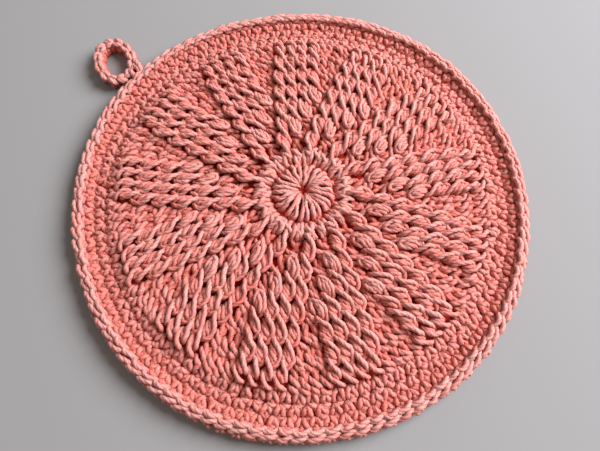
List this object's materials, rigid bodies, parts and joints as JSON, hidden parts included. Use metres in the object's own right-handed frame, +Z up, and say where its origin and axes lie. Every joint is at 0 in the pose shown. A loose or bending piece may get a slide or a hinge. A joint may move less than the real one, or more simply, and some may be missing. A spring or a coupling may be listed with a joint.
{
  "type": "crocheted pot holder",
  "caption": "Round crocheted pot holder with raised ribs fanning from a flower-like centre, a raised edging and a hanging loop.",
  "frame": {"origin": "centre of the panel's flat underside, on the surface it lies on", "axes": "+Z up out of the ribbed face; +Y toward the side that is far from the camera in the picture; the hanging loop is toward -X and +Y"},
  "size_m": [0.2004, 0.1995, 0.0096],
  "materials": {
    "panel_yarn": "matt coral-pink cotton yarn",
    "edging_yarn": "matt coral-pink cotton yarn",
    "loop_yarn": "matt coral-pink cotton yarn"
  },
  "bodies": {
    "root": {"panel": "panel_yarn", "edging": "edging_yarn", "hanging_loop": "loop_yarn"}
  },
  "joints": []
}
